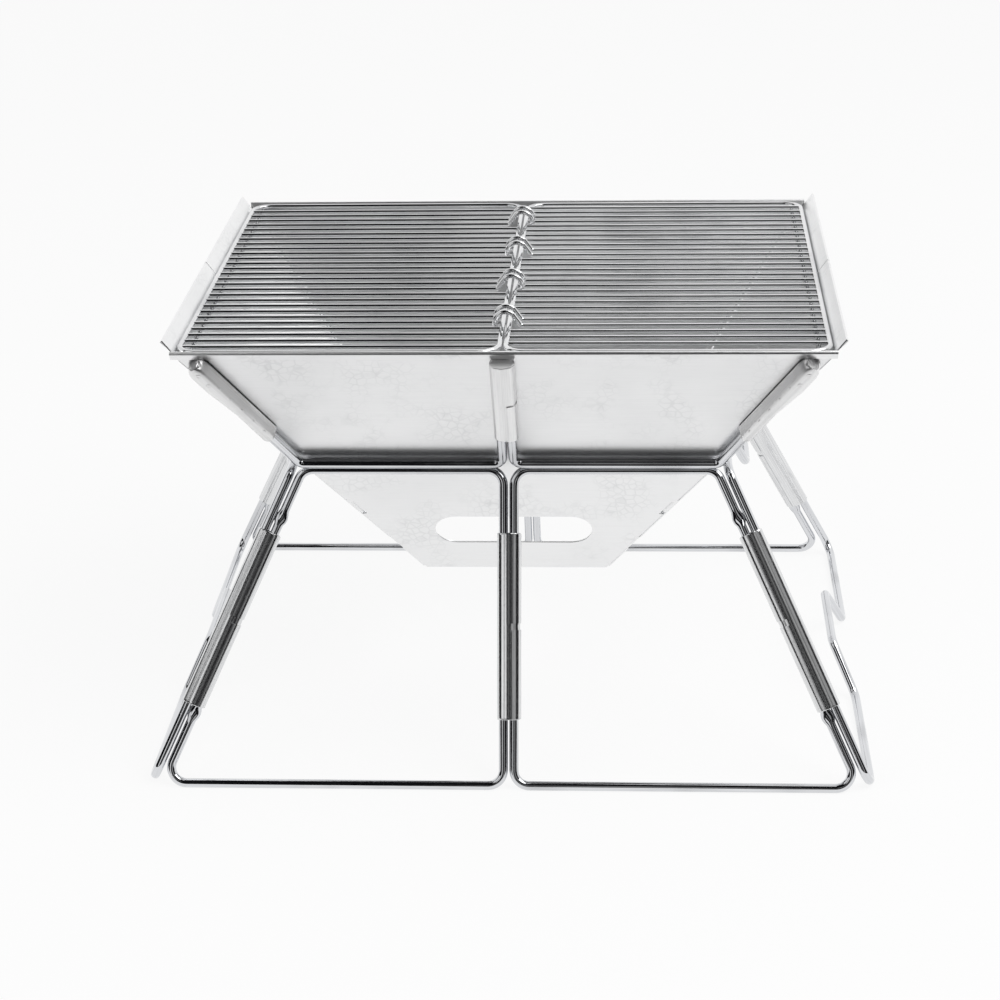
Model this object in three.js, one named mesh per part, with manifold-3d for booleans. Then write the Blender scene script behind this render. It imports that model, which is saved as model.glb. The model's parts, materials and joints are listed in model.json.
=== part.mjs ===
// A folding wire-and-sheet grill: a six-loop wire stand, a funnel-shaped firebox and a net in two halves.
// Millimetres, +Z up, the origin on the floor under the middle, the front towards -Y.
import * as THREE from 'three';
import { mergeVertices } from 'three/addons/utils/BufferGeometryUtils.js';
import Module from 'manifold-3d';

const wasm = await Module();
wasm.setup();

// Wires and the sleeves that pair them
const wireRadius = 2.4;
const wireGap = 0.6;
const sleeveFit = 0.3;
const sleeveWall = 0.6;
const wireBend = 8;
const wireSpacing = 2 * wireRadius + wireGap;

// Stand: the surface that its wire centres lie on
const floorHalfWidth = 186;
const floorHalfDepth = 151;
const waistHalfWidth = 112.5;
const waistHeight = 154;
const waistHalfDepth = waistHalfWidth * floorHalfDepth / floorHalfWidth;
const archRise = 28;
const archStartShare = 0.34;
const archFootShare = 0.055;

// Where the stand's closed chain of hinges is opened, the sleeve is roomy and the legs stand further apart
const openSideFit = 1.9;
const openLegGap = 1.2;

// Firebox
const rimHeight = 233.5;
const rimHalfWidth = 170;
const funnelHalfWidth = 50.5;
const boxBend = 4.5;
const boxLegGap = 7;
const boxLegSplay = 6;
const sheet = 0.8;
const sideRimRise = 4;
const rimCornerGap = 6;
const plateFit = 0.35;
const ventLength = 84;
const ventWidth = 23;
const ventRise = 35;
const hemDrop = 5.6;
const foldOverlap = 0.2;
const sideHem = 6;
const sideHemThickness = 0.8;
const sideHemRise = 7;
const edgeGap = 1.2;
const seamGap = 0.9;
const clipFlangeInner = 2;
const clipFlangeFoot = 1;
const clipFlangeHead = 4;

// Plate hinges: rolled knuckles on a pin
const pinRadius = 0.8;
const pinFit = 0.3;
const knuckleWall = 0.6;
const knuckleLength = 12;
const knuckleGap = 0.4;
const knuckleSink = 0.3;
const overrunShare = 0.1;
const pinOverhang = 2;
const openPinFit = 2.6;
const frontKnuckleShares = [0.12, 0.5, 0.93];
const sideKnuckleShares = [0.3, 0.72];
const seamKnuckleShares = [0.1, 0.36, 0.62, 0.88];

// Net
const netDrop = 2;
const netEndGap = 0.6;
const netWire = 1.4;
const netBar = 1.25;
const netBarPitch = 9.2;
const netFrameBend = 10;
const netWeld = 0.25;
const netMiddle = 1.7;
const crossWire = 1.3;
const crossInset = 5.2;
const foldGap = 0.6;
const hookReach = 6;
const hookPlaceShares = [0.36, 0.12, -0.12, -0.36];
const hookStartDegrees = -35;
const hookCurlDegrees = 200;
const hookCurlSteps = 9;
const hookTipBend = 2.2;

// Smoothness
const wireSides = 8;
const barSides = 6;
const bendSteps = 5;
const gentleTurn = 0.6;
const sleeveArcSteps = 6;
const pinSides = 10;
const overrun = 2;

const vec = (x, y, z) => new THREE.Vector3(x, y, z);
const along = (a, b, share) => a.clone().lerp(b, share);
const towards = (a, b) => b.clone().sub(a).normalize();

const colours = { wire: 0xc9ccd0, sheet: 0xb9bcc0, sleeve: 0xa9acb0, net: 0xd0d3d6, pin: 0x9a9da1 };
const grill = new THREE.Group();

function addMesh(name, geometry, kind) {
  const polish = { wire: 0.12, sheet: 0.34, sleeve: 0.3, net: 0.12, pin: 0.3 };
  const material = new THREE.MeshStandardMaterial({ color: colours[kind], metalness: 1, roughness: polish[kind] });
  const mesh = new THREE.Mesh(geometry, material);
  mesh.name = name;
  grill.add(mesh);
  return mesh;
}

// Solids for joining and cutting

function toSolid(geometry) {
  const bare = new THREE.BufferGeometry();
  bare.setAttribute('position', geometry.getAttribute('position').clone());
  if (geometry.index) bare.setIndex(geometry.index.clone());
  const welded = mergeVertices(bare, sheet * 1e-4);
  return new wasm.Manifold(new wasm.Mesh({
    numProp: 3,
    vertProperties: new Float32Array(welded.getAttribute('position').array),
    triVerts: new Uint32Array(welded.index.array),
  }));
}

function toGeometry(solid) {
  const mesh = solid.getMesh();
  const geometry = new THREE.BufferGeometry();
  geometry.setAttribute('position', new THREE.Float32BufferAttribute(mesh.vertProperties, 3));
  geometry.setIndex(Array.from(mesh.triVerts));
  return geometry;
}

const joined = (solids) => solids.reduce((a, b) => a.add(b));
const cut = (solid, cutters) => cutters.reduce((a, b) => a.subtract(b), solid);

// Wires

// A path of straight stretches whose points are used exactly as given.
class WirePath extends THREE.Curve {
  constructor(points, closed) {
    super();
    this.points = points;
    this.closed = closed;
    this.last = closed ? points.length : points.length - 1;
  }

  pointAt(index) {
    const count = this.points.length;
    return this.points[this.closed ? (index + count) % count : Math.min(Math.max(index, 0), count - 1)];
  }

  getPoint(share) {
    return this.pointAt(Math.round(share * this.last)).clone();
  }

  getPointAt(share) {
    return this.getPoint(share);
  }

  getTangentAt(share) {
    const index = Math.round(share * this.last);
    const before = towards(this.pointAt(index - 1), this.pointAt(index));
    const after = towards(this.pointAt(index), this.pointAt(index + 1));
    return before.add(after).normalize();
  }

  // A closed wire lies in one plane. Its section keeps a flat side turned straight down where it runs level.
  computeFrenetFrames(steps, closed) {
    if (!closed) return super.computeFrenetFrames(steps, closed);
    const across = vec(0, 0, 0);
    this.points.forEach((point, i) => across.add(point.clone().cross(this.pointAt(i + 1))));
    across.normalize();
    const turn = Math.atan2(-across.z, -Math.hypot(across.x, across.y)) + Math.PI / wireSides;
    const tangents = Array.from({ length: steps + 1 }, (_, i) => this.getTangentAt(i / steps));
    const normals = tangents.map((tangent) =>
      across.clone().cross(tangent).multiplyScalar(-Math.cos(turn)).addScaledVector(across, -Math.sin(turn)));
    const binormals = tangents.map((tangent, i) => tangent.clone().cross(normals[i]));
    return { tangents, normals, binormals };
  }
}

// The arc that rounds one corner, as points from one straight stretch to the next.
function bend(before, corner, after, radius) {
  const back = towards(corner, before);
  const ahead = towards(corner, after);
  const opening = back.angleTo(ahead);
  if (Math.PI - opening < gentleTurn) return [corner.clone()];
  const reach = radius / Math.tan(opening / 2);
  const centre = back.clone().add(ahead).normalize().multiplyScalar(radius / Math.sin(opening / 2)).add(corner);
  const from = corner.clone().addScaledVector(back, reach).sub(centre);
  const to = corner.clone().addScaledVector(ahead, reach).sub(centre);
  const turn = from.angleTo(to);
  const axis = from.clone().cross(to).normalize();
  const steps = Math.max(2, Math.ceil(bendSteps * turn / (Math.PI / 2)));
  return Array.from({ length: steps + 1 }, (_, i) =>
    from.clone().applyAxisAngle(axis, turn * i / steps).add(centre));
}

function closedWire(corners, radius, bendRadius, sides) {
  const count = corners.length;
  const points = corners.flatMap((corner, i) =>
    bend(corners[(i + count - 1) % count], corner, corners[(i + 1) % count], bendRadius));
  const path = new WirePath(points, true);
  return new THREE.TubeGeometry(path, points.length, radius, sides, true);
}

function openWire(corners, radius, bendRadius, sides) {
  const middle = corners.slice(1, -1).flatMap((corner, i) => bend(corners[i], corner, corners[i + 2], bendRadius));
  const points = [corners[0], ...middle, corners[corners.length - 1]];
  const path = new WirePath(points, false);
  const section = new THREE.Shape();
  section.absarc(0, 0, radius, 0, 2 * Math.PI);
  const options = { extrudePath: path, steps: points.length - 1, bevelEnabled: false, curveSegments: sides / 2 };
  return new THREE.ExtrudeGeometry(section, options);
}

function rod(from, to, radius, sides) {
  const geometry = new THREE.CylinderGeometry(radius, radius, from.distanceTo(to), sides);
  const turn = new THREE.Quaternion().setFromUnitVectors(vec(0, 1, 0), towards(from, to));
  const middle = along(from, to, 0.5);
  return geometry.applyQuaternion(turn).translate(middle.x, middle.y, middle.z);
}

// A frame whose z runs from one point to another and whose x leans as near as it can to a given way.
function frameAlong(from, to, sideways) {
  const z = towards(from, to);
  const x = sideways.clone().addScaledVector(z, -sideways.dot(z)).normalize();
  const y = z.clone().cross(x);
  return new THREE.Matrix4().makeBasis(x, y, z).setPosition(from);
}

// Sleeves: a flattened tube round two wires, its section drawn about the midpoint between them

function sleeveGeometry(from, to, sideways) {
  const half = wireSpacing / 2;
  const outline = (shape, radius) => {
    shape.absarc(half, 0, radius, -Math.PI / 2, Math.PI / 2, false);
    shape.absarc(-half, 0, radius, Math.PI / 2, 3 * Math.PI / 2, false);
    shape.closePath();
    return shape;
  };
  const section = outline(new THREE.Shape(), wireRadius + sleeveFit + sleeveWall);
  section.holes.push(outline(new THREE.Path(), wireRadius + sleeveFit));
  const options = { depth: from.distanceTo(to), bevelEnabled: false, curveSegments: sleeveArcSteps };
  return new THREE.ExtrudeGeometry(section, options).applyMatrix4(frameAlong(from, to, sideways));
}

// A sleeve that is open on the side of its second wire: closed round the first, roomy round the other.
// x runs from the first wire, at 0, to the second.
function openSleeveGeometry(from, to, sideways) {
  const near = wireRadius + sleeveFit;
  const far = wireRadius + openSideFit;
  const reach = wireSpacing + openLegGap + wireRadius;
  const section = new THREE.Shape();
  section.moveTo(reach, far);
  section.lineTo(near, far);
  section.lineTo(0, near);
  section.absarc(0, 0, near, Math.PI / 2, 3 * Math.PI / 2, false);
  section.lineTo(near, -far);
  section.lineTo(reach, -far);
  section.lineTo(reach, -far - sleeveWall);
  section.lineTo(near, -far - sleeveWall);
  section.lineTo(0, -near - sleeveWall);
  section.absarc(0, 0, near + sleeveWall, -Math.PI / 2, -3 * Math.PI / 2, true);
  section.lineTo(near, far + sleeveWall);
  section.lineTo(reach, far + sleeveWall);
  section.closePath();
  const options = { depth: from.distanceTo(to), bevelEnabled: false, curveSegments: sleeveArcSteps };
  return new THREE.ExtrudeGeometry(section, options).applyMatrix4(frameAlong(from, to, sideways));
}

// Stand

const restingHeight = wireRadius * Math.cos(Math.PI / wireSides);
const standFloor = (sx, sy) => vec(sx * floorHalfWidth, sy * floorHalfDepth, restingHeight);
const standWaist = (sx, sy) => vec(sx * waistHalfWidth, sy * waistHalfDepth, waistHeight);
const atHeight = (origin, direction, z) => origin.clone().addScaledVector(direction, (z - origin.z) / direction.z);

// The four corners of a front or rear loop: foot and head of the outer leg, head and foot of the inner leg.
function faceLoop(low, high, spacing) {
  const sx = Math.sign(low.x);
  const leg = towards(low, high);
  const normal = vec(1, 0, 0).cross(towards(vec(0, low.y, low.z), vec(0, high.y, high.z)));
  const inboard = leg.clone().cross(normal).normalize();
  if (inboard.x * sx > 0) inboard.negate();
  const outer = low.clone().addScaledVector(inboard, spacing);
  const foot = atHeight(outer, leg, low.z);
  const head = atHeight(outer, leg, high.z);
  const inner = sx * wireSpacing / 2;
  return [foot, head, vec(inner, high.y, high.z), vec(inner, low.y, low.z)];
}

const standSides = { left: -1, right: 1 };
const standFaces = { front: -1, rear: 1 };
const sleeveEndShares = { outer: [0.26, 0.81], inner: [0.21, 0.8] };
const boxSleeveShares = { outer: [0.28, 0.91], inner: [0.28, 0.98] };
const hinges = {};

for (const [face, sy] of Object.entries(standFaces)) {
  const pair = {};
  for (const [side, sx] of Object.entries(standSides)) {
    const open = face === 'rear' && side === 'right';
    const spacing = wireSpacing + (open ? openLegGap : 0);
    const loop = faceLoop(standFloor(sx, sy), standWaist(sx, sy), spacing);
    pair[side] = loop;
    addMesh(`stand_${face}_${side}_loop`, closedWire(loop, wireRadius, wireBend, wireSides), 'wire');
    hinges[`stand_${face}_${side}_outer`] = [loop[0], loop[1]];
    hinges[`stand_${face}_${side}_inner`] = [loop[3], loop[2]];

    const sideFoot = standFloor(sx, sy);
    const sideHead = standWaist(sx, sy);
    const [low, high] = sleeveEndShares.outer;
    const inwards = loop[0].clone().sub(sideFoot);
    const from = along(sideFoot, sideHead, low);
    const to = along(sideFoot, sideHead, high);
    const name = `stand_${face}_${side}_corner_sleeve`;
    if (open) {
      addMesh(name, openSleeveGeometry(from, to, inwards), 'sleeve');
    } else {
      const shift = frameAlong(from, to, inwards);
      const x = vec(0, 0, 0).setFromMatrixColumn(shift, 0).multiplyScalar(wireSpacing / 2);
      addMesh(name, sleeveGeometry(from.clone().add(x), to.clone().add(x), inwards), 'sleeve');
    }
  }
  const foot = along(pair.left[3], pair.right[3], 0.5);
  const head = along(pair.left[2], pair.right[2], 0.5);
  const [low, high] = sleeveEndShares.inner;
  const sleeve = sleeveGeometry(along(foot, head, low), along(foot, head, high), vec(1, 0, 0));
  addMesh(`stand_${face}_centre_sleeve`, sleeve, 'sleeve');
}

// Each side is one continuous wire that dips over the middle of its top and arches over the middle of its foot.
for (const [side, sx] of Object.entries(standSides)) {
  const feet = [standFloor(sx, -1), standFloor(sx, 1)];
  const heads = [standWaist(sx, -1), standWaist(sx, 1)];
  const up = towards(along(...feet, 0.5), along(...heads, 0.5));
  const inner = archStartShare + archFootShare;
  const raised = (a, b, share, rise) => along(a, b, share).addScaledVector(up, rise);
  const top = [
    along(...heads, archStartShare), raised(...heads, inner, -archRise),
    raised(...heads, 1 - inner, -archRise), along(...heads, 1 - archStartShare),
  ];
  const foot = [
    along(...feet, 1 - archStartShare), raised(...feet, 1 - inner, archRise),
    raised(...feet, inner, archRise), along(...feet, archStartShare),
  ];
  const corners = [feet[0], heads[0], ...top, heads[1], feet[1], ...foot];
  addMesh(`stand_${side}_side_loop`, closedWire(corners, wireRadius, wireBend, wireSides), 'wire');
}

// Firebox: its wires lie on a surface through the stand's waist, its plates on one just inside that

const sideSpread = (rimHalfWidth - waistHalfWidth) / (rimHeight - waistHeight);
const frontSpread = sideSpread * waistHalfDepth / waistHalfWidth;
const frontTilt = Math.atan(frontSpread);
const sideTilt = Math.atan(sideSpread);
const plateInset = wireRadius + sleeveFit + sleeveWall + plateFit + sheet / 2;
const wireApex = waistHeight - waistHalfWidth / sideSpread;
const plateApex = wireApex + plateInset / Math.sin(frontTilt);
const funnelHeight = plateApex + funnelHalfWidth / sideSpread;

const onWires = (sx, sy, z) => vec(sx * (z - wireApex) * sideSpread, sy * (z - wireApex) * frontSpread, z);
const onPlates = (sx, sy, z) => vec(sx * (z - plateApex) * sideSpread, sy * (z - plateApex) * frontSpread, z);

// Heights of the firebox's own waist wires, which rest on the stand's, and of its legs' ends under the hem
const boxWaist = waistHeight + wireSpacing * Math.cos(frontTilt);
const boxTop = rimHeight - hemDrop * Math.cos(frontTilt) - plateInset * Math.sin(frontTilt);

// A flat piece of sheet: its outline is projected on the plane through its first three corners, and it lies
// between two distances from that plane, measured towards the outside of the box.
function flatPiece(outline, outwards, near, far, holes = []) {
  const sideways = towards(outline[0], outline[1]);
  const normal = sideways.clone().cross(towards(outline[1], outline[2])).normalize();
  if (normal.dot(outwards) < 0) normal.negate();
  const frame = new THREE.Matrix4().makeBasis(sideways, normal.clone().cross(sideways), normal);
  frame.setPosition(outline[0]);
  const back = frame.clone().invert();
  const flat = outline.map((point) => point.clone().applyMatrix4(back)).map((p) => new THREE.Vector2(p.x, p.y));
  const shape = new THREE.Shape(flat);
  shape.holes.push(...holes.map((hole) => hole(back)));
  const options = { depth: far - near, bevelEnabled: false, curveSegments: sleeveArcSteps };
  const geometry = new THREE.ExtrudeGeometry(shape, options).translate(0, 0, near);
  return toSolid(geometry.applyMatrix4(frame));
}

const outwardsOf = (sx, sy) =>
  vec(sx * Math.cos(sideTilt), sy * Math.cos(frontTilt), -Math.sin(sx ? sideTilt : frontTilt));
const cornerLine = (sx, sy) => [onPlates(sx, sy, funnelHeight), onPlates(sx, sy, rimHeight)];

// The pin's line at a corner lies inside the box, as far from one plate as from the other.
const knuckleRadius = pinRadius + pinFit + knuckleWall;
const pinInset = sheet / 2 + knuckleRadius - knuckleSink;

function cornerPinLine(sx, sy) {
  const inwards = outwardsOf(sx, 0).add(outwardsOf(0, sy)).normalize().negate();
  const shift = pinInset / -inwards.dot(outwardsOf(0, sy));
  return cornerLine(sx, sy).map((point) => point.addScaledVector(inwards, shift));
}

// The pin's line at a side's seam lies outside, so that the halves fold with their outer faces together.
function seamPinLine(sx) {
  const ends = [onPlates(sx, 0, funnelHeight), onPlates(sx, 0, rimHeight)];
  return ends.map((point) => point.addScaledVector(outwardsOf(sx, 0), pinInset));
}

function knuckleSpan(line, share, extra) {
  const middle = along(...line, share);
  const way = towards(...line).multiplyScalar(knuckleLength / 2 + extra);
  return [middle.clone().sub(way), middle.clone().add(way)];
}

function knuckle(line, share) {
  const tube = toSolid(rod(...knuckleSpan(line, share, 0), knuckleRadius, pinSides));
  return tube.subtract(toSolid(rod(...knuckleSpan(line, share, overrun), pinRadius + pinFit, pinSides)));
}

const knuckleRoom = (line, share, fit) =>
  toSolid(rod(...knuckleSpan(line, share, knuckleGap), knuckleRadius + fit, pinSides));

function pinBetween(name, line, shares) {
  const [first] = knuckleSpan(line, Math.min(...shares), pinOverhang);
  const [, last] = knuckleSpan(line, Math.max(...shares), pinOverhang);
  addMesh(name, rod(first, last, pinRadius, pinSides), 'pin');
}

for (const [face, sy] of Object.entries(standFaces)) {
  // Two U-shaped wires that stiffen the plate, and what holds them
  const pair = {};
  const outwards = outwardsOf(0, sy);
  for (const [side, sx] of Object.entries(standSides)) {
    const low = onWires(sx, sy, boxWaist);
    const high = onWires(sx, sy, boxTop);
    high.x -= sx * boxLegSplay;
    const loop = faceLoop(low, high, boxLegGap);
    const [outerFoot, outerHead, innerHead, innerFoot] = loop;
    pair[side] = loop;
    const path = [outerHead, outerFoot, innerFoot, innerHead];
    addMesh(`box_${face}_${side}_loop`, openWire(path, wireRadius, boxBend, wireSides), 'wire');

    // A clip rolled round the outer leg, its flanges spot-welded to the plate and wider at the top
    const [low1, high1] = boxSleeveShares.outer;
    const from = along(loop[0], loop[1], low1);
    const to = along(loop[0], loop[1], high1);
    const bore = wireRadius + sleeveFit;
    const tube = toSolid(rod(from, to, bore + sleeveWall, pinSides + barSides));
    const [below, above] = [along(from, to, -overrunShare), along(from, to, 1 + overrunShare)];
    const hole = toSolid(rod(below, above, bore, pinSides + barSides));
    const across = towards(from, to).cross(outwards).normalize();
    if (across.x * sx < 0) across.negate();
    const beside = (point, reach) => point.clone().addScaledVector(across, reach);
    const flange = flatPiece([
      beside(from, -bore - clipFlangeInner), beside(to, -bore - clipFlangeInner),
      beside(to, bore + clipFlangeHead), beside(from, bore + clipFlangeFoot),
    ], outwards, -bore - sleeveWall, -bore + sleeveWall);
    addMesh(`box_${face}_${side}_corner_clip`, toGeometry(tube.add(flange).subtract(hole)), 'sleeve');
  }
  const foot = along(pair.left[3], pair.right[3], 0.5);
  const head = along(pair.left[2], pair.right[2], 0.5);
  const [low, high] = boxSleeveShares.inner;
  const sleeve = sleeveGeometry(along(foot, head, low), along(foot, head, high), vec(1, 0, 0));
  addMesh(`box_${face}_centre_sleeve`, sleeve, 'sleeve');

  // The plate, with its vent and a flat hem folded down outside
  const inset = edgeGap / Math.cos(Math.atan(sideSpread * Math.cos(frontTilt)));
  const corners = [
    onPlates(-1, sy, funnelHeight), onPlates(1, sy, funnelHeight),
    onPlates(1, sy, rimHeight), onPlates(-1, sy, rimHeight),
  ];
  corners.forEach((corner) => { corner.x -= Math.sign(corner.x) * inset; });
  const slopeUp = towards(along(corners[0], corners[1], 0.5), along(corners[2], corners[3], 0.5));
  const ventMiddle = along(corners[0], corners[1], 0.5).addScaledVector(slopeUp, ventRise);
  const vent = (back) => {
    const centre = ventMiddle.clone().applyMatrix4(back);
    const half = (ventLength - ventWidth) / 2;
    const path = new THREE.Path();
    path.absarc(centre.x + half, centre.y, ventWidth / 2, -Math.PI / 2, Math.PI / 2, false);
    path.absarc(centre.x - half, centre.y, ventWidth / 2, Math.PI / 2, 3 * Math.PI / 2, false);
    path.closePath();
    return path;
  };
  const topAt = (sx, inwards, down) => {
    const corner = corners[sx < 0 ? 3 : 2];
    return vec(corner.x - sx * inwards, corner.y, corner.z).addScaledVector(slopeUp, -down);
  };
  const strip = (inwards, low, high, near, far) => flatPiece([
    topAt(-1, inwards, low), topAt(1, inwards, low), topAt(1, inwards, high), topAt(-1, inwards, high),
  ], outwards, near, far);
  const bodyOutline = [corners[0], corners[1], topAt(1, sheet / 2, sheet / 2), topAt(-1, sheet / 2, sheet / 2)];
  const body = flatPiece(bodyOutline, outwards, -sheet / 2, sheet / 2, [vent]);
  const hem = strip(0, hemDrop, 0, -foldOverlap, sheet + sheet / 2);
  const rooms = [];
  const knuckles = [];
  for (const [side, sx] of Object.entries(standSides)) {
    const line = cornerPinLine(sx, sy);
    const open = face === 'rear' && side === 'right';
    knuckles.push(...frontKnuckleShares.map((share) => knuckle(line, share)));
    rooms.push(...sideKnuckleShares.map((share) => knuckleRoom(line, share, open ? openPinFit : pinFit)));
    pinBetween(`box_${face}_${side}_corner_pin`, line, frontKnuckleShares);
    hinges[`box_${face}_${side}_corner`] = line;
  }
  const solid = joined([cut(body.add(hem), rooms), ...knuckles]);
  addMesh(`box_${face}_plate`, toGeometry(solid), 'sheet');
}

// Each side of the firebox is two half plates on a seam hinge
for (const [side, sx] of Object.entries(standSides)) {
  const outwards = outwardsOf(sx, 0);
  const seam = seamPinLine(sx);
  hinges[`box_${side}_seam`] = seam;
  pinBetween(`box_${side}_seam_pin`, seam, seamKnuckleShares);
  const top = rimHeight + sideRimRise;
  for (const [face, sy] of Object.entries(standFaces)) {
    const open = face === 'rear' && side === 'right';
    const inset = sy * edgeGap / Math.cos(Math.atan(frontSpread * Math.cos(sideTilt)));
    const shifted = (point, shift) => vec(point.x, point.y - shift, point.z);
    const middle = (z) => vec(onPlates(sx, 0, z).x, sy * seamGap / 2, z);
    const corners = [
      middle(funnelHeight), shifted(onPlates(sx, sy, funnelHeight), inset),
      shifted(onPlates(sx, sy, rimHeight - sideHemRise), inset), shifted(onPlates(sx, sy, top), sy * rimCornerGap),
      middle(top),
    ];
    const body = flatPiece(corners, outwards, -sheet / 2, sheet / 2);
    const hemShare = sideHem / corners[4].distanceTo(corners[0]);
    const hem = flatPiece([
      along(corners[4], corners[0], hemShare), along(corners[3], corners[1], hemShare), corners[3], corners[4],
    ], outwards, 0, sheet / 2 + sideHemThickness);
    const line = cornerPinLine(sx, sy);
    const own = seamKnuckleShares.filter((_, i) => (i % 2 === 0) === (sy < 0));
    const others = seamKnuckleShares.filter((share) => !own.includes(share));
    const rooms = [
      ...frontKnuckleShares.map((share) => knuckleRoom(line, share, open ? openPinFit : pinFit)),
      ...others.map((share) => knuckleRoom(seam, share, pinFit)),
    ];
    const knuckles = own.map((share) => knuckle(seam, share));
    if (open) rooms.push(toSolid(rod(...line, pinRadius + openPinFit, pinSides)));
    else knuckles.push(...sideKnuckleShares.map((share) => knuckle(line, share)));
    const solid = joined([cut(body.add(hem), rooms), ...knuckles]);
    addMesh(`box_${side}_${face}_half_plate`, toGeometry(solid), 'sheet');
  }
}

// Net: two halves that hook round each other's end wires and fold upwards about a line just above them

const netHeight = rimHeight - netDrop;
const netReach = (spread, tilt, room) => (netHeight - plateApex) * spread - (sheet / 2 + netWire + room) / Math.cos(tilt);
const netHalfDepth = netReach(frontSpread, frontTilt, plateFit);
const netHalfLength = netReach(sideSpread, sideTilt, netEndGap);
const foldHeight = netWire + foldGap / 2;
const hookRadius = Math.hypot(netMiddle, foldHeight) + netWire + foldGap + netBar;
const barCount = Math.floor((2 * netHalfDepth - netBarPitch) / netBarPitch);
hinges.net_fold = [vec(0, -netHalfDepth, netHeight + foldHeight), vec(0, netHalfDepth, netHeight + foldHeight)];

for (const [side, sx] of Object.entries(standSides)) {
  const at = (x, y, z) => vec(sx * x, y, netHeight + z);
  const frame = [
    at(netMiddle, -netHalfDepth, 0), at(netHalfLength, -netHalfDepth, 0),
    at(netHalfLength, netHalfDepth, 0), at(netMiddle, netHalfDepth, 0),
  ];

  // The right half's bars lie half a pitch further back, between the left half's
  const shift = sx > 0 ? 0.5 : 0;
  const barPlace = (i) => (i - (barCount - 1) / 2 + shift - 0.25) * netBarPitch;
  const hookBars = hookPlaceShares.filter((_, i) => (i % 2 === 0) === (sx < 0))
    .map((share) => Math.round(share * barCount + (barCount - 1) / 2));
  const isHook = (i) => hookBars.some((bar) => i === bar || i === bar + 1);
  const bars = Array.from({ length: barCount }, (_, i) => i).filter((i) => !isHook(i))
    .map((i) => rod(at(netMiddle, barPlace(i), 0), at(netHalfLength, barPlace(i), 0), netBar, barSides));

  // A cross wire under the bars, just inside the outer end
  const crossDrop = netWeld - netBar - crossWire;
  const crossHalf = netHalfDepth - netWire / 2;
  const crossPlace = netHalfLength - crossInset;
  const cross = rod(at(crossPlace, -crossHalf, crossDrop), at(crossPlace, crossHalf, crossDrop), crossWire, barSides);

  // A hairpin is two bars whose joined ends rise over the seam and curl round the other half's end wire
  const profile = [at(netHalfLength, 0, 0), at(netMiddle + hookReach, 0, 0)];
  const curl = hookCurlDegrees / hookCurlSteps;
  for (let i = 0; i <= hookCurlSteps; i += 1) {
    const angle = THREE.MathUtils.degToRad(hookStartDegrees + i * curl);
    profile.push(at(-hookRadius * Math.sin(angle), 0, foldHeight + hookRadius * Math.cos(angle)));
  }
  const hooks = hookBars.map((bar) => {
    const near = profile.map((point) => vec(point.x, barPlace(bar), point.z));
    const far = profile.map((point) => vec(point.x, barPlace(bar + 1), point.z)).reverse();
    return openWire([...near, ...far], netBar, hookTipBend, barSides);
  });
  const solids = [closedWire(frame, netWire, netFrameBend, wireSides), ...bars, cross, ...hooks].map(toSolid);
  addMesh(`net_${side}_half`, toGeometry(joined(solids)), 'net');
}

grill.userData.hinges = hinges;

export default grill;
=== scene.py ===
import bpy
import json
import math
import random
from mathutils import Matrix, Vector
from mathutils.geometry import tessellate_polygon


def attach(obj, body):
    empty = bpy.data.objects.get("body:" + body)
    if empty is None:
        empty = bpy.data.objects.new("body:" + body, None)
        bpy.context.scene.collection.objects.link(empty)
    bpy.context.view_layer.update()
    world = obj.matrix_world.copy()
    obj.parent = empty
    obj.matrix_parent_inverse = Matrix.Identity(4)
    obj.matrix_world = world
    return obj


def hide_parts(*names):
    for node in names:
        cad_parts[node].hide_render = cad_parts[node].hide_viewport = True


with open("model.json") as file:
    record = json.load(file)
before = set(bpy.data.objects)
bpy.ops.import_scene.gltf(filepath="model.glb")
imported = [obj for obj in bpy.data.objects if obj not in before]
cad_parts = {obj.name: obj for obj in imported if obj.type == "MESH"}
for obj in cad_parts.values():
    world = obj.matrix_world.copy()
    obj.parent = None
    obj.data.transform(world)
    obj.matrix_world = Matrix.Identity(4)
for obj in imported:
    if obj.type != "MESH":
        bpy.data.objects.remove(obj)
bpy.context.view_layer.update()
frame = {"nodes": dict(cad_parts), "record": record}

bodyOf = {node: body for body, nodes in frame["record"]["behaviour"]["bodies"].items() for node in nodes}
mm = 0.001
print("frame loaded,", len(bodyOf), "nodes")

# camera, fitted to the photograph
view = {
    "focalPixels": 2400,
    "place": (68.6, -1233.3, 619.8),
    "pitch": 22.872,
    "yaw": -3.682,
    "roll": -1.333,
    "sensor": 36,
    "framePixels": 1000,
    "farthest": 60,
}


def addCamera():
    pitch, yaw, roll = (math.radians(view[key]) for key in ("pitch", "yaw", "roll"))
    forward = Vector((math.sin(yaw) * math.cos(pitch), math.cos(yaw) * math.cos(pitch), -math.sin(pitch)))
    right = forward.cross(Vector((0, 0, 1))).normalized()
    up = right.cross(forward)
    tiltedRight = right * math.cos(roll) + up * math.sin(roll)
    tiltedUp = up * math.cos(roll) - right * math.sin(roll)
    turn = Matrix((tiltedRight, tiltedUp, -forward)).transposed()
    camera = bpy.data.cameras.new("photoCamera")
    camera.sensor_width = view["sensor"]
    camera.lens = view["sensor"] * view["focalPixels"] / view["framePixels"]
    camera.clip_end = view["farthest"]
    holder = bpy.data.objects.new("photoCamera", camera)
    holder.matrix_world = Matrix.Translation(Vector(view["place"]) * mm) @ turn.to_4x4()
    bpy.context.scene.collection.objects.link(holder)
    bpy.context.scene.camera = holder


addCamera()


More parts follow.
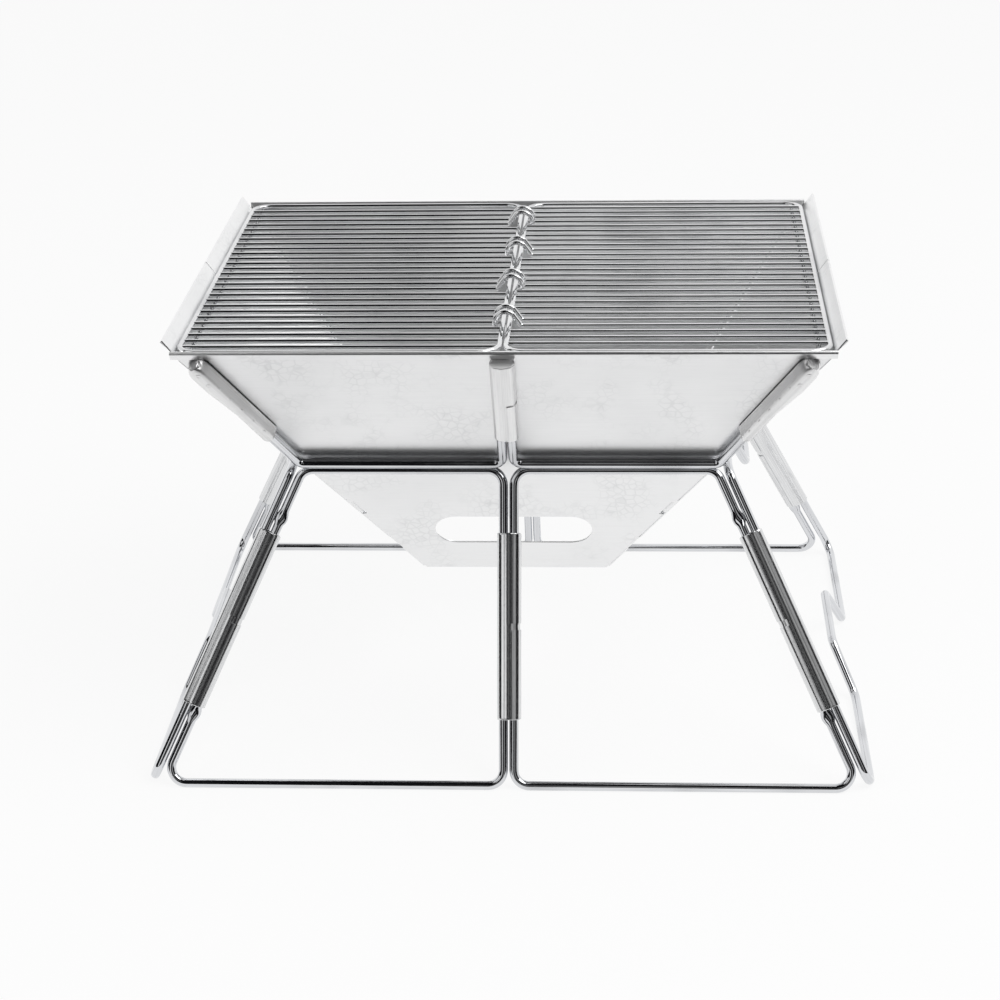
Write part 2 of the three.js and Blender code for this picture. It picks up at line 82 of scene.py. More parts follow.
# shader maths: a wrapped socket that adds Math nodes as an expression is written
class Wire:
    def __init__(self, finish, socket):
        self.finish = finish
        self.socket = socket

    def maths(self, operation, *others):
        return self.finish.node("ShaderNodeMath", {"operation": operation}, self, *others)

    def __add__(self, other):
        return self.maths("ADD", other)

    __radd__ = __add__

    def __mul__(self, other):
        return self.maths("MULTIPLY", other)

    __rmul__ = __mul__

    def __sub__(self, other):
        return self.maths("SUBTRACT", other)

    def __rsub__(self, other):
        return self.finish.node("ShaderNodeMath", {"operation": "SUBTRACT"}, other, self)

    def __truediv__(self, other):
        return self.maths("DIVIDE", other)

    def clamped(self):
        return self.finish.node("ShaderNodeMath", {"operation": "MINIMUM"}, self.maths("MAXIMUM", 0.0), 1.0)

    def between(self, low, high):
        return ((self - low) / (high - low)).clamped()


# a node tree being built: a new material's own, or the one that is handed in
class Finish:
    def __init__(self, name, tree=None):
        self.material = None
        if tree is None:
            self.material = bpy.data.materials.new(name)
            self.material.use_nodes = True
            tree = self.material.node_tree
        self.tree = tree
        tree.nodes.clear()

    # any node: its type, its settings, then its sockets by order or by name; out picks the output
    def node(self, kind, settings=None, *values, out=0, **named):
        made = self.tree.nodes.new(kind)
        for key, value in (settings or {}).items():
            setattr(made, key, value)
        for place, value in [*enumerate(values), *named.items()]:
            socket = made.inputs[place if isinstance(place, int) else place.replace("_", " ")]
            if isinstance(value, Wire):
                self.tree.links.new(value.socket, socket)
            elif value is not None:
                socket.default_value = value
        return Wire(self, made.outputs[out]) if made.outputs else None

    def place(self):
        return self.node("ShaderNodeTexCoord", out="Object")

    def lengthwise(self):
        return self.node("ShaderNodeUVMap", {"uv_map": "along"})

    def stretched(self, place, scale):
        return self.node("ShaderNodeMapping", None, Vector=place, Scale=scale)

    def noise(self, place, scale, detail=3.0, rough=0.5):
        return self.node("ShaderNodeTexNoise", None, Vector=place, Scale=scale, Detail=detail, Roughness=rough)

    def spots(self, place, scale, feature):
        return self.node("ShaderNodeTexVoronoi", {"feature": feature}, Vector=place, Scale=scale)

    # a colour mix, whose colours are its inputs 6 and 7 and its output 2
    def mixed(self, mask, low, high):
        made = self.node("ShaderNodeMix", {"data_type": "RGBA"}, out=2)
        mix = made.socket.node
        self.tree.links.new(mask.socket, mix.inputs["Factor"])
        for socket, value in ((mix.inputs[6], low), (mix.inputs[7], high)):
            if isinstance(value, Wire):
                self.tree.links.new(value.socket, socket)
            else:
                socket.default_value = (*value, 1)
        return made

    def metal(self, colour, roughness, height, strength):
        bump = self.node("ShaderNodeBump", None, Height=height, Strength=strength, Distance=1.0)
        shader = self.node("ShaderNodeBsdfPrincipled", None, Base_Color=colour, Roughness=roughness,
                           Metallic=1.0, Normal=bump)
        self.node("ShaderNodeOutputMaterial", None, Surface=shader)
        return self.material


# finishes; ranges are the part of a noise that is spread over 0 to 1, depths are in metres
wireLook = {
    "colour": (0.74, 0.75, 0.77), "shade": (0.46, 0.465, 0.48), "roughness": 0.03, "roughnessMore": 0.06,
    "drawLines": (900.0, 22.0, 1.0), "drawRange": (0.35, 0.75), "drawShade": 0.5, "drawDepth": 0.000008,
    "cloudScale": 85.0, "cloudRange": (0.3, 0.8), "waviness": 0.00006,
    "smearScale": 26.0, "smearRange": (0.5, 0.72), "smearShade": 0.45, "smearRoughness": 0.08,
    "pitScale": 900.0, "pitRange": (0.62, 0.78), "pits": 0.00001, "bump": 0.6,
}
netLook = {
    **wireLook, "colour": (0.80, 0.805, 0.81), "shade": (0.50, 0.505, 0.52),
    "drawLines": (700.0, 30.0, 1.0), "waviness": 0.00008,
}


# polished wire: fine lines along it from drawing, a soft waviness, smears and pits
def polishedWire(name, look):
    finish = Finish(name)
    place = finish.place()
    drawn = finish.noise(finish.stretched(finish.lengthwise(), look["drawLines"]), 1.0, 4.0, 0.6)
    clouds = finish.noise(place, look["cloudScale"])
    smears = finish.noise(place, look["smearScale"], 2.0).between(*look["smearRange"])
    pits = finish.noise(place, look["pitScale"], 2.0).between(*look["pitRange"])
    shaded = (drawn.between(*look["drawRange"]) * look["drawShade"] + smears * look["smearShade"]).clamped()
    colour = finish.mixed(shaded, look["colour"], look["shade"])
    roughness = (look["roughness"] + clouds.between(*look["cloudRange"]) * look["roughnessMore"]
                 + smears * look["smearRoughness"])
    height = clouds * look["waviness"] + drawn * look["drawDepth"] - pits * look["pits"]
    return finish.metal(colour, roughness, height, look["bump"])


sheetLook = {
    "colour": (0.89, 0.892, 0.895), "shade": (0.83, 0.832, 0.836), "stain": (0.72, 0.725, 0.73), "roughness": 0.27,
    "spotScale": 230.0, "dropScale": 126.5, "wobbleScale": 60.0, "wobble": (0.004, 0.004, 0.004),
    "ringRange": (0.02, 0.12), "ringStain": 0.42, "ringRoughness": 0.05, "dropRange": (0.2, 0.42), "dropStain": 0.3,
    "patchScale": 34.0, "patchRange": (0.48, 0.66),
    "cloudScale": 13.0, "cloudRange": (0.45, 0.8), "cloudStain": 0.3, "cloudDepth": 0.00012,
    "dullRange": (0.3, 0.8), "dull": 0.06,
    "grainScale": (40.0, 40.0, 1500.0), "grainRange": (0.3, 0.75), "grainShade": 0.4, "grainRoughness": 0.04,
    "grainDepth": 0.000006, "bump": 0.4,
}


# satin sheet: a fine rolled grain, patches with a faint net of dried water spots, and cloudy stains
def satinSheet(name, look):
    finish = Finish(name)
    place = finish.place()
    shifted = finish.node("ShaderNodeVectorMath", {"operation": "MULTIPLY_ADD"},
                          finish.noise(place, look["wobbleScale"], 2.0), look["wobble"], place)
    rings = finish.spots(shifted, look["spotScale"], "DISTANCE_TO_EDGE")
    drops = finish.spots(shifted, look["dropScale"], "F1")
    clouds = finish.noise(place, look["cloudScale"], 4.0, 0.6)
    patches = finish.noise(place, look["patchScale"]).between(*look["patchRange"])
    grain = finish.noise(finish.stretched(place, look["grainScale"]), 1.0)
    ringMask = (1 - rings.between(*look["ringRange"])) * patches
    dropMask = (1 - drops.between(*look["dropRange"])) * patches
    stain = (ringMask * look["ringStain"] + dropMask * look["dropStain"]
             + clouds.between(*look["cloudRange"]) * look["cloudStain"]).clamped()
    base = finish.mixed(grain.between(*look["grainRange"]) * look["grainShade"], look["colour"], look["shade"])
    colour = finish.mixed(stain, base, look["stain"])
    roughness = (look["roughness"] + clouds.between(*look["dullRange"]) * look["dull"]
                 + ringMask * look["ringRoughness"] + grain * look["grainRoughness"])
    height = grain * look["grainDepth"] + clouds * look["cloudDepth"]
    return finish.metal(colour, roughness, height, look["bump"])


sleeveLook = {
    "colour": (0.80, 0.805, 0.81), "shade": (0.50, 0.505, 0.52), "roughness": 0.15,
    "scratches": (1500.0, 16.0, 1.0), "scratchRange": (0.42, 0.72), "scratchShade": 0.7, "scratchDepth": 0.000006,
    "dullRange": (0.3, 0.8), "dull": 0.1,
    "scuffs": (260.0, 60.0, 1.0), "scuffRange": (0.55, 0.75), "scuffShade": 0.4,
    "speckScale": 620.0, "speckRange": (0.6, 0.72), "speckRoughness": 0.06, "speckDepth": 0.000001, "bump": 0.5,
}
clipLook = {**sleeveLook, "colour": (0.90, 0.90, 0.90), "shade": (0.74, 0.74, 0.745), "roughness": 0.34}


# rolled strip: lengthwise scratches, scuffed where it is handled
def rolledStrip(name, look):
    finish = Finish(name)
    lengthwise = finish.lengthwise()
    scratches = finish.noise(finish.stretched(lengthwise, look["scratches"]), 1.0, 5.0, 0.65)
    scuffs = finish.noise(finish.stretched(lengthwise, look["scuffs"]), 1.0)
    specks = finish.noise(finish.place(), look["speckScale"], 2.0).between(*look["speckRange"])
    worn = (scratches.between(*look["scratchRange"]) * look["scratchShade"]
            + scuffs.between(*look["scuffRange"]) * look["scuffShade"]).clamped()
    colour = finish.mixed(worn, look["colour"], look["shade"])
    roughness = (look["roughness"] + scratches.between(*look["dullRange"]) * look["dull"]
                 + specks * look["speckRoughness"])
    height = scratches * look["scratchDepth"] + specks * look["speckDepth"]
    return finish.metal(colour, roughness, height, look["bump"])


brightWire = polishedWire("brightWire", wireLook)
netWire = polishedWire("netWire", netLook)
plateMetal = satinSheet("plateMetal", sheetLook)
clipMetal = rolledStrip("clipMetal", clipLook)
sleeveMetal = rolledStrip("sleeveMetal", sleeveLook)
pinMetal = polishedWire("pinMetal", {**wireLook, "roughness": 0.2})
print("finishes made")


# the angle in degrees from which a piece's edges stay sharp
sharpFrom = {"wire": 60, "sleeve": 40, "clip": 38, "plate": 38, "net": 50, "pin": 50}


def areaOf(loop):
    return sum(a.x * b.y - b.x * a.y for a, b in zip(loop, loop[1:] + loop[:1]))


# a flat outline moved in by the given amount; sharp corners move in no further than the limit allows
def shrunk(loop, amount, sharpLimit=0.3):
    side = amount if areaOf(loop) > 0 else -amount
    made = []
    for before, here, after in zip(loop[-1:] + loop[:-1], loop, loop[1:] + loop[:1]):
        one, two = (here - before).normalized(), (after - here).normalized()
        inward = Vector((-one.y - two.y, one.x + two.x))
        inward /= max(sharpLimit, inward.length_squared) / 2
        made.append(here + inward * side)
    return made


# a piece's mesh, gathered from rings and sheets, with a map that runs along its length in metres
class Shape:
    def __init__(self):
        self.points, self.faces, self.maps = [], [], []

    # a skin over rings of points; closed joins the last ring to the first, otherwise both ends are capped
    def rings(self, rings, closed=False):
        start = len(self.points)
        count = len(rings[0])
        self.points += [point for ring in rings for point in ring]
        around = [0.0]
        for one, two in zip(rings[0], rings[0][1:] + rings[0][:1]):
            around.append(around[-1] + (two - one).length)
        middles = [sum(ring, Vector()) / count for ring in rings]
        lengths = [0.0]
        for one, two in zip(middles, middles[1:] + middles[:1]):
            lengths.append(lengths[-1] + (two - one).length)
        for i in range(len(rings) if closed else len(rings) - 1):
            for j in range(count):
                a, b = i * count, ((i + 1) % len(rings)) * count
                k = (j + 1) % count
                self.faces.append([start + a + j, start + a + k, start + b + k, start + b + j])
                self.maps.append([(around[j], lengths[i]), (around[j + 1], lengths[i]),
                                  (around[j + 1], lengths[i + 1]), (around[j], lengths[i + 1])])
        if not closed:
            last = start + (len(rings) - 1) * count
            for face in ([start + j for j in reversed(range(count))], [last + j for j in range(count)]):
                self.faces.append(face)
                self.maps.append([(0.0, 0.0)] * count)
        return self

    # a flat sheet with bevelled edges and holes, in a frame whose third axis is its normal
    def sheet(self, outline, holes, thickness, place, edge):
        loops = [outline, *holes]
        inner = [shrunk(outline, edge)] + [shrunk(hole, -edge) for hole in holes]
        half = thickness / 2
        start = len(self.points)
        layers = [(inner, half), (loops, half - edge), (loops, edge - half), (inner, -half)]
        counts = [len(loop) for loop in loops]
        total = sum(counts)
        for layer, height in layers:
            for loop in layer:
                self.points += [place @ Vector((point.x, point.y, height)) for point in loop]
        for level in range(len(layers) - 1):
            first = 0
            for loop, count in zip(loops, counts):
                turned = (areaOf(loop) > 0) != (loop is not outline)
                for j in range(count):
                    k = (j + 1) % count
                    a, b = start + level * total + first, start + (level + 1) * total + first
                    face = [a + j, b + j, b + k, a + k]
                    self.addFlat(face if turned else face[::-1])
                first += count
        flat = [[Vector((point.x, point.y, 0)) for point in loop] for loop in inner]
        order = [point for loop in flat for point in loop]
        for a, b, c in tessellate_polygon(flat):
            up = (order[b] - order[a]).cross(order[c] - order[a]).z > 0
            top = [a, b, c] if up else [a, c, b]
            self.addFlat([start + i for i in top])
            self.addFlat([start + 3 * total + i for i in reversed(top)])
        return self

    def addFlat(self, face):
        self.faces.append(face)
        self.maps.append([(self.points[i].x, self.points[i].z) for i in face])

    def build(self, name, finish, sharp):
        mesh = bpy.data.meshes.new(name)
        mesh.from_pydata([tuple(point * mm) for point in self.points], [], self.faces)
        layer = mesh.uv_layers.new(name="along")
        for polygon, places in zip(mesh.polygons, self.maps):
            for corner, (u, v) in zip(polygon.loop_indices, places):
                layer.data[corner].uv = (u * mm, v * mm)
        mesh.shade_smooth()
        mesh.set_sharp_from_angle(angle=math.radians(sharp))
        mesh.materials.append(finish)
        piece = bpy.data.objects.new(name, mesh)
        bpy.context.scene.collection.objects.link(piece)
        return piece


def standFor(piece, node):
    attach(piece, bodyOf[node])
    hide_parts(node)


def along(a, b, share):
    return a + (b - a) * share


def towards(a, b):
    return (b - a).normalized()


# points round an oval, given by its two half axes
def ovalRing(centre, across, other, sides):
    angles = [2 * math.pi * j / sides for j in range(sides)]
    return [centre + across * math.cos(angle) + other * math.sin(angle) for angle in angles]


# points on a flat arc from one angle to another
def arcPoints(centre, radius, first, last, steps):
    angles = [first + (last - first) * i / steps for i in range(steps + 1)]
    return [centre + Vector((math.cos(angle), math.sin(angle))) * radius for angle in angles]


def facing(rings, turned):
    return [ring[::-1] for ring in rings] if turned else rings


bendLimits = {"straight": 0.02, "reach": 0.48}


# the arc that rounds one corner of a wire
def bend(before, corner, after, radius, steps=12):
    back, ahead = towards(corner, before), towards(corner, after)
    opening = back.angle(ahead)
    turn = math.pi - opening
    if turn < bendLimits["straight"]:
        return [corner]
    reach = radius / math.tan(opening / 2)
    reach = min(reach, bendLimits["reach"] * min((before - corner).length, (after - corner).length))
    radius = reach * math.tan(opening / 2)
    centre = corner + (back + ahead).normalized() * (radius / math.sin(opening / 2))
    spoke = corner + back * reach - centre
    axis = spoke.cross(corner + ahead * reach - centre).normalized()
    count = max(3, round(steps * turn / (math.pi / 2)))
    return [centre + Matrix.Rotation(turn * i / count, 3, axis) @ spoke for i in range(count + 1)]


def roundedPath(corners, radius, closed=True, steps=12):
    count = len(corners)
    made = []
    for i in range(count):
        if closed or 0 < i < count - 1:
            made += bend(corners[i - 1], corners[i], corners[(i + 1) % count], radius, steps)
        else:
            made.append(corners[i])
    return made


# long straight stretches get more rings, for pinches and for an even mesh
def spread(points, gap, closed=True):
    made = []
    pairs = zip(points, points[1:] + points[:1]) if closed else zip(points, points[1:])
    for a, b in pairs:
        parts = max(1, round((b - a).length / gap))
        made += [along(a, b, i / parts) for i in range(parts)]
    return made if closed else [*made, points[-1]]


pinchForm = {"thinner": 0.75, "fall": 0.7}


# rings of a round wire; pinches are places where it is pressed flat: (point, half length, how much wider)
def wireRings(points, radius, sides, closed, flatNormal=None, pinches=()):
    count = len(points)
    rings, normal = [], flatNormal
    for i, point in enumerate(points):
        before = points[i - 1] if closed or i else point
        after = points[(i + 1) % count] if closed or i < count - 1 else point
        tangent = towards(before, after)
        if normal is None:
            normal = tangent.orthogonal().normalized()
        across = (normal - tangent * normal.dot(tangent)).normalized()
        if flatNormal is None:
            normal = across
        other = tangent.cross(across)
        wide = 0.0
        for place, half, amount in pinches:
            gap = (point - place).length / half
            if gap < 1:
                wide = amount * (1 - gap * gap) ** pinchForm["fall"]
        thin, broad = radius * (1 - pinchForm["thinner"] * wide), radius * (1 + wide)
        rings.append(ovalRing(point, across * thin, other * broad, sides))
    return rings


# the two cut ends of a wire, with their sharp edge taken off
def roundedEnds(rings, amount):
    made = list(rings)
    for end, beside in ((0, 1), (-1, -2)):
        count = len(rings[end])
        middle, inner = sum(rings[end], Vector()) / count, sum(rings[beside], Vector()) / count
        inwards = towards(middle, inner) * amount
        radius = (rings[end][0] - middle).length
        tip = [middle + (point - middle) * (1 - amount / radius) for point in rings[end]]
        made[end] = [point + inwards for point in rings[end]]
        made.insert(0 if end == 0 else len(made), tip)
    return made


def loopNormal(corners):
    return sum((a.cross(b) for a, b in zip(corners, corners[1:] + corners[:1])), Vector()).normalized()


# stand, in the frame's millimetres; shares run from the foot of a leg or an edge to its head
standSize = {
    "wire": 2.4, "gap": 5.4, "openGap": 1.2, "bend": 8, "sides": 28, "step": 9.0, "fineStep": 2.0,
    "floorWide": 186, "floorDeep": 151, "rest": 2.217,
    "waistWide": 112.5, "waistDeep": 112.5 * 151 / 186, "waistHigh": 154, "faceLean": 0.3,
    "arch": 28, "archStart": 0.34, "archFoot": 0.055,
    "pinchHalf": 3.2, "pinchWide": 0.42, "pinchBeside": 0.035,
}
sleeveSize = {
    "inner": 2.7, "outer": 3.3, "crown": 0.5, "steps": 16, "across": 8,
    "cornerEnds": (0.26, 0.81), "centreEnds": (0.21, 0.80),
    "rim": 0.12, "rimLong": 0.25, "evenFrom": 1.2, "boreRim": 0.1, "boreRimLong": 0.3,
    "lap": 0.5, "lapTip": 0.4, "lapSteps": 10, "lapSink": 0.05, "lapEnd": 0.004, "notch": 0.018,
    "lowerReach": 0.55, "upperReach": 1.35,
}
sides = {"left": -1, "right": 1}
faces = {"front": -1, "rear": 1}


def floorCorner(sx, sy):
    return Vector((sx * standSize["floorWide"], sy * standSize["floorDeep"], standSize["rest"]))


def waistCorner(sx, sy):
    return Vector((sx * standSize["waistWide"], sy * standSize["waistDeep"], standSize["waistHigh"]))


def atHeight(point, way, height):
    return point + way * ((height - point.z) / way.z)


def faceLoop(low, high, spacing):
    side = math.copysign(1, low.x)
    leg = towards(low, high)
    normal = Vector((1, 0, 0)).cross(towards(Vector((0, low.y, low.z)), Vector((0, high.y, high.z))))
    inboard = leg.cross(normal).normalized()
    if inboard.x * side > 0:
        inboard.negate()
    outer = low + inboard * spacing
    inner = side * standSize["gap"] / 2
    return [atHeight(outer, leg, low.z), atHeight(outer, leg, high.z),
            Vector((inner, high.y, high.z)), Vector((inner, low.y, low.z))]


def wireLoop(name, node, corners, pinches=()):
    points = spread(roundedPath(corners, standSize["bend"]), standSize["fineStep" if pinches else "step"])
    rings = wireRings(points, standSize["wire"], standSize["sides"], True, loopNormal(corners), pinches)
    standFor(Shape().rings(rings, closed=True).build(name, brightWire, sharpFrom["wire"]), node)


# how far the face of a sleeve bulges between its two wires
def crownAt(x, half):
    return sleeveSize["crown"] * max(0.0, 1 - (x / half) ** 2)


# the section of a sleeve round two wires, as points about the middle between them
def sleeveSection(half, radius):
    across = sleeveSize["across"]
    right = arcPoints(Vector((half, 0)), radius, -math.pi / 2, math.pi / 2, sleeveSize["steps"])
    places = [half * (1 - 2 * i / across) for i in range(1, across)]
    top = [Vector((x, radius + crownAt(x, half))) for x in places]
    return [*right, *top, *(-point for point in right), *(-point for point in top)]


def sleeveFrame(start, end, sideways):
    z = towards(start, end)
    x = (sideways - z * sideways.dot(z)).normalized()
    y = z.cross(x)
    return x, y, z


def placed(section, x, y, centre):
    return [centre + x * point.x + y * point.y for point in section]


# strip rolled round two wires; its edge laps over the face in two stretches with a notch between them
def addSleeve(shape, start, end, sideways, half, outwards):
    x, y, z = sleeveFrame(start, end, sideways)
    if y.dot(outwards) < 0:
        y = -y
    mirrored = x.cross(y).dot(z) < 0
    length = (end - start).length
    size = sleeveSize
    inner, outer = size["inner"], size["outer"]
    outside = [(0, outer - size["rim"]), (size["rimLong"], outer), (size["evenFrom"], outer)]
    bore = [(length, inner + size["boreRim"]), (length - size["boreRimLong"], inner),
            (size["boreRimLong"], inner), (0, inner + size["boreRim"])]
    stops = [*outside, (length / 2, outer), *((length - place, radius) for place, radius in outside[::-1]), *bore]
    rings = [placed(sleeveSection(half, radius), x, y, start + z * place) for place, radius in stops]
    shape.rings(facing(rings, mirrored), closed=True)
    lapEnd, notch = size["lapEnd"], size["notch"]
    under, over = outer - size["lapSink"], outer + size["lap"]
    stretches = ((lapEnd, 0.5 - notch, size["lowerReach"]), (0.5 + notch, 1 - lapEnd, size["upperReach"]))
    for low, high, reach in stretches:
        tip = half - reach * half
        lower, upper = (arcPoints(Vector((half, 0)), radius, -math.pi / 2, math.pi / 2, size["lapSteps"])
                        for radius in (under, over))
        for place, height in (((tip + half) / 2, over), (tip, outer + size["lapTip"])):
            lower.append(Vector((place, under + crownAt(place, half))))
            upper.append(Vector((place, height + crownAt(place, half))))
        places = (low, low + lapEnd, high - lapEnd, high)
        stretch = [placed(lower + upper[::-1], x, y, start + z * (length * share)) for share in places]
        shape.rings(facing(stretch, not mirrored))
    return shape


for face, sy in faces.items():
    pair = {}
    outwards = Vector((0, sy, standSize["faceLean"]))
    for side, sx in sides.items():
        spacing = standSize["gap"]
        if face == "rear" and side == "right":
            spacing += standSize["openGap"]
        foot, head = floorCorner(sx, sy), waistCorner(sx, sy)
        loop = faceLoop(foot, head, spacing)
        pair[side] = loop
        low, high = sleeveSize["cornerEnds"]
        pinches = [(along(loop[0], loop[1], share), standSize["pinchHalf"], standSize["pinchWide"])
                   for share in (low - standSize["pinchBeside"], high + standSize["pinchBeside"])]
        label = face.capitalize() + side.capitalize()
        wireLoop(f"stand{label}Wire", f"stand_{face}_{side}_loop", loop, pinches)
        inwards = loop[0] - foot
        start, end = along(foot, head, low), along(foot, head, high)
        shift = sleeveFrame(start, end, inwards)[0] * (spacing / 2)
        sleeve = addSleeve(Shape(), start + shift, end + shift, inwards, spacing / 2, outwards)
        piece = sleeve.build(f"stand{label}CornerSleeve", sleeveMetal, sharpFrom["sleeve"])
        standFor(piece, f"stand_{face}_{side}_corner_sleeve")
    foot, head = (along(pair["left"][i], pair["right"][i], 0.5) for i in (3, 2))
    low, high = sleeveSize["centreEnds"]
    sleeve = addSleeve(Shape(), along(foot, head, low), along(foot, head, high), Vector((1, 0, 0)),
                       standSize["gap"] / 2, outwards)
    piece = sleeve.build(f"stand{face.capitalize()}CentreSleeve", sleeveMetal, sharpFrom["sleeve"])
    standFor(piece, f"stand_{face}_centre_sleeve")

for side, sx in sides.items():
    feet = [floorCorner(sx, -1), floorCorner(sx, 1)]
    heads = [waistCorner(sx, -1), waistCorner(sx, 1)]
    up = towards(along(*feet, 0.5), along(*heads, 0.5))
    start, inner, rise = standSize["archStart"], standSize["archStart"] + standSize["archFoot"], standSize["arch"]
    top = [along(*heads, start), along(*heads, inner) - up * rise,
           along(*heads, 1 - inner) - up * rise, along(*heads, 1 - start)]
    foot = [along(*feet, 1 - start), along(*feet, 1 - inner) + up * rise,
            along(*feet, inner) + up * rise, along(*feet, start)]
    corners = [feet[0], heads[0], *top, heads[1], feet[1], *foot]
    wireLoop(f"stand{side.capitalize()}SideWire", f"stand_{side}_side_loop", corners)
print("stand made")

# firebox
boxSize = {
    "rimHigh": 233.5, "rimWide": 170, "funnelWide": 50.5, "sheet": 0.8, "edge": 0.14, "edgeGap": 1.2, "seamGap": 0.9,
    "fit": 0.35, "sleeveFit": 0.3, "sleeveWall": 0.6, "sideRise": 4, "cornerGap": 6,
    "bend": 4.5, "wireTop": 0.97, "wireTip": 0.5, "legGap": 7, "legSplay": 6,
    "centreEnds": (0.28, 1.0), "plug": (0.984, 0.996), "centreWeld": 0.95, "centreWeldSize": 1.3,
    "ventLength": 84, "ventWidth": 23, "ventRise": 35, "ventSteps": 16,
    "edgeSlots": (0.3, 0.6, 0.72, 0.855), "slotDeep": 2.4, "seamSlotDeep": 1.6, "slotRound": 0.4,
    "sideHem": 6, "sideHemRise": 7, "sideHemEdge": 0.22, "sideHemLift": 0.76,
}
hemSize = {
    "drop": 4.5, "gap": 0.6, "steps": 12, "lipRound": 0.2, "root": 0.6, "rootSink": 0.02,
    "end": 0.2, "endScale": 0.95,
}
clipSize = {
    "ends": (0.28, 0.985), "inner": 2, "foot": 1, "head": 4, "sides": 32, "widerFrom": 0.4, "widerOver": 0.3,
    "rim": 0.15, "rimLong": 0.3, "boreRim": 0.05, "boreRimLong": 0.2,
    "weld": 1.5, "welds": (0.92, 0.79), "weldShift": 0.6, "weldLift": 0.06,
    "spot": 0.7, "spots": (0.12, 0.27, 0.42, 0.57, 0.72), "spotShift": 0.55, "spotLift": -0.1,
}
# the clip's strip: (share of its length, inboard reach, outboard reach)
clipStops = ((0.0, 0.62, 0.5), (0.012, 0.86, 0.8), (0.03, 1.0, 1.0), (0.4, 1.0, 1.0), (0.62, 1.0, 0.98),
             (0.72, 1.0, 1.0), (0.9, 1.0, 1.0), (0.95, 0.95, 0.9), (0.98, 0.8, 0.72), (1.0, 0.5, 0.42))
hingeSize = {
    "pin": 0.8, "fit": 0.3, "wall": 0.6, "length": 12, "gap": 0.4, "sink": 0.3, "sides": 20,
    "rim": 0.12, "rimLong": 0.12, "boreRim": 0.05, "boreRimLong": 0.1,
    "face": (0.12, 0.5, 0.93), "side": (0.3, 0.72), "seam": (0.1, 0.36, 0.62, 0.88),
}
# a weld mark's profile: (share of its radius, height)
weldProfile = ((1.0, 0.0), (0.86, 0.14), (0.62, 0.16), (0.4, 0.06), (0.15, 0.03))
weldSides = 24
sideSpread = (boxSize["rimWide"] - standSize["waistWide"]) / (boxSize["rimHigh"] - standSize["waistHigh"])
faceSpread = sideSpread * standSize["waistDeep"] / standSize["waistWide"]
faceTilt, sideTilt = math.atan(faceSpread), math.atan(sideSpread)
plateInset = standSize["wire"] + boxSize["sleeveFit"] + boxSize["sleeveWall"] + boxSize["fit"] + boxSize["sheet"] / 2
wireApex = standSize["waistHigh"] - standSize["waistWide"] / sideSpread
plateApex = wireApex + plateInset / math.sin(faceTilt)
funnelHigh = plateApex + boxSize["funnelWide"] / sideSpread
boxWaist = standSize["waistHigh"] + standSize["gap"] * math.cos(faceTilt)
boxTop = boxSize["rimHigh"] - hemSize["drop"] * math.cos(faceTilt) - plateInset * math.sin(faceTilt)
knuckleRadius = hingeSize["pin"] + hingeSize["fit"] + hingeSize["wall"]
pinInset = boxSize["sheet"] / 2 + knuckleRadius - hingeSize["sink"]


def onWires(sx, sy, z):
    return Vector((sx * (z - wireApex) * sideSpread, sy * (z - wireApex) * faceSpread, z))


def onPlates(sx, sy, z):
    return Vector((sx * (z - plateApex) * sideSpread, sy * (z - plateApex) * faceSpread, z))


def outwardsOf(sx, sy):
    return Vector((sx * math.cos(sideTilt), sy * math.cos(faceTilt), -math.sin(sideTilt if sx else faceTilt)))


def cornerPinLine(sx, sy):
    inwards = -(outwardsOf(sx, 0) + outwardsOf(0, sy)).normalized()
    shift = pinInset / -inwards.dot(outwardsOf(0, sy))
    return [onPlates(sx, sy, funnelHigh) + inwards * shift, onPlates(sx, sy, boxSize["rimHigh"]) + inwards * shift]


def seamPinLine(sx):
    return [onPlates(sx, 0, z) + outwardsOf(sx, 0) * pinInset for z in (funnelHigh, boxSize["rimHigh"])]


# rings of a round tube with bevelled rims, outside and bore
def tubeRings(start, end, across, other, outer, bore, size):
    length = (end - start).length
    stops = [(0, outer - size["rim"]), (size["rimLong"], outer)]
    stops += [(length - place, radius) for place, radius in stops[::-1]]
    stops += [(length, bore + size["boreRim"]), (length - size["boreRimLong"], bore),
              (size["boreRimLong"], bore), (0, bore + size["boreRim"])]
    way = towards(start, end)
    return [ovalRing(start + way * place, across * radius, other * radius, size["sides"]) for place, radius in stops]


# a tab rolled into a short tube round its pin
def addKnuckle(shape, line, share):
    middle, way = along(*line, share), towards(*line)
    reach = way * (hingeSize["length"] / 2)
    across = way.orthogonal().normalized()
    bore = hingeSize["pin"] + hingeSize["fit"]
    rings = tubeRings(middle - reach, middle + reach, across, way.cross(across), knuckleRadius, bore, hingeSize)
    shape.rings(rings, closed=True)


# a sheet's own frame: its first edge runs along x, its third axis points out of the box
def sheetFrame(outline, outwards):
    x = towards(outline[0], outline[1])
    normal = x.cross(towards(outline[1], outline[2])).normalized()
    if normal.dot(outwards) < 0:
        normal.negate()
    turn = Matrix((x, normal.cross(x), normal)).transposed().to_4x4()
    return Matrix.Translation(outline[0]) @ turn


def flattened(outline, place):
    back = place.inverted()
    return [(back @ point).to_2d() for point in outline]


# the shallow cuts along one edge, at the other plate's knuckles
def notched(a, b, shares, inward, depth):
    way = towards(a, b)
    reach = hingeSize["length"] / 2 + hingeSize["gap"]
    inner = reach - boxSize["slotRound"]
    made = []
    for share in shares:
        middle = along(a, b, share)
        for place, deep in ((-reach, 0), (-inner, depth), (inner, depth), (reach, 0)):
            made.append(middle + way * place + inward * deep)
    return made


